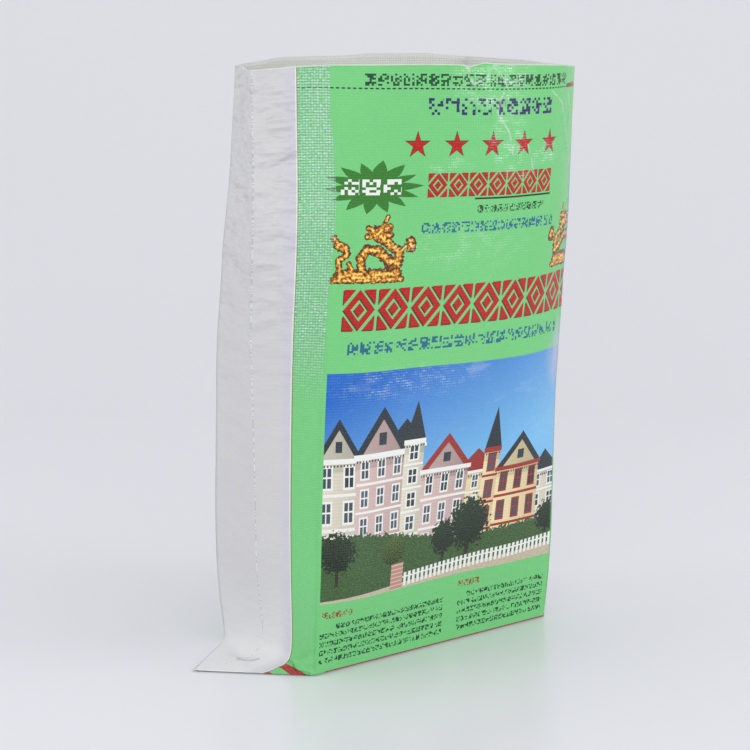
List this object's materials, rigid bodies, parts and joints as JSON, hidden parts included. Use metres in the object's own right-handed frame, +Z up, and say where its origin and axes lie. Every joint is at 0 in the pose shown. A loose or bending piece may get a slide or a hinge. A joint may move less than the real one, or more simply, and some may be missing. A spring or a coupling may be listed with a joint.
{
  "type": "open-mouth square-bottom woven bag for wall putty",
  "caption": "Empty open-mouth square-bottom bag of laminated woven plastic, standing upright, for a dry powder such as wall putty.",
  "frame": {"origin": "centre of the bottom strip's underside, on the floor", "axes": "+Z up along the bag's height, -Y out of the printed front, +X along the front towards its right fold"},
  "size_m": [0.4646, 0.2104, 0.5779],
  "materials": {
    "printed_fabric": "green print under glossy film on woven tape, white side panels",
    "plain_fabric": "plain white laminated woven tape"
  },
  "bodies": {
    "root": {"sleeve": "printed_fabric", "bottom_patch": "plain_fabric"}
  },
  "joints": []
}
